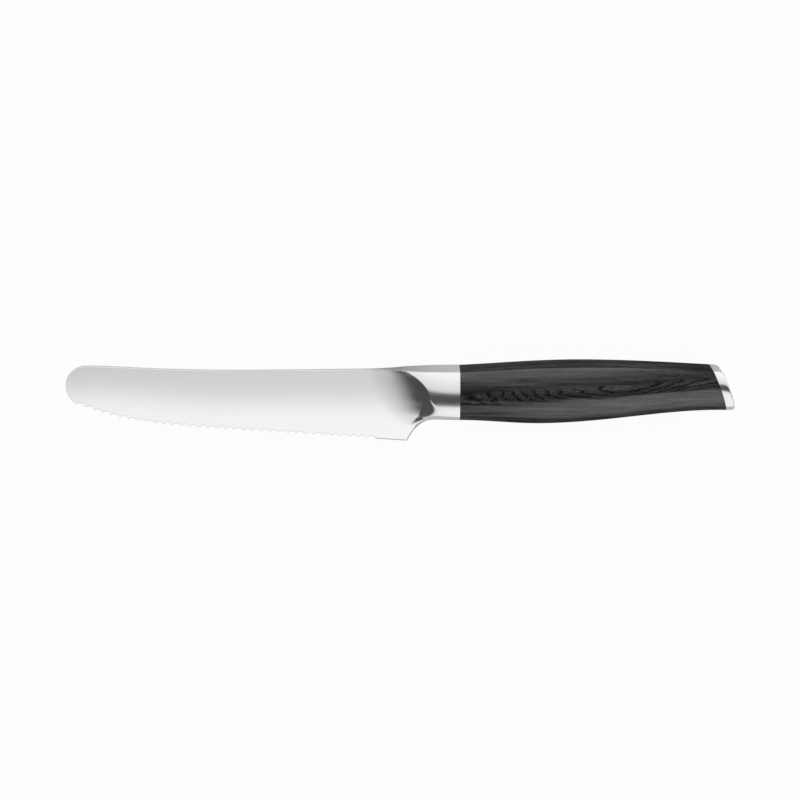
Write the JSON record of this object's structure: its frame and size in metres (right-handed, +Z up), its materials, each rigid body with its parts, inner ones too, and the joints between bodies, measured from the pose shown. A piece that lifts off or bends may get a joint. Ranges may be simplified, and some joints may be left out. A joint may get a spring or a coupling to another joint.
{
  "type": "breakfast knife",
  "caption": "Round-nosed serrated breakfast knife: forged blade and bolster in one, black wood handle halves round a hidden tang, slanted steel end cap.",
  "frame": {"origin": "On the surface that the knife lies on, under the middle of its bounding box", "axes": "+X from the tip to the butt, +Y from the edge to the spine, +Z up, out of the blade's left face"},
  "size_m": [0.235, 0.0282, 0.0178],
  "materials": {
    "blade_steel": "satin blade with fine cross-grain lines, bolster polished bright",
    "black_wood": "black laminated wood, oiled and rubbed to a low sheen, dark grain bands",
    "cap_steel": "polished bright with soft corners",
    "pin_steel": "drawn bar, cut to length"
  },
  "bodies": {
    "root": {"forged_blade": "blade_steel", "left_handle_half": "black_wood", "right_handle_half": "black_wood", "end_cap": "cap_steel", "handle_dowel_1": "pin_steel", "handle_dowel_2": "pin_steel", "handle_dowel_3": "pin_steel", "cap_rivet_1": "pin_steel", "cap_rivet_2": "pin_steel"}
  },
  "joints": []
}
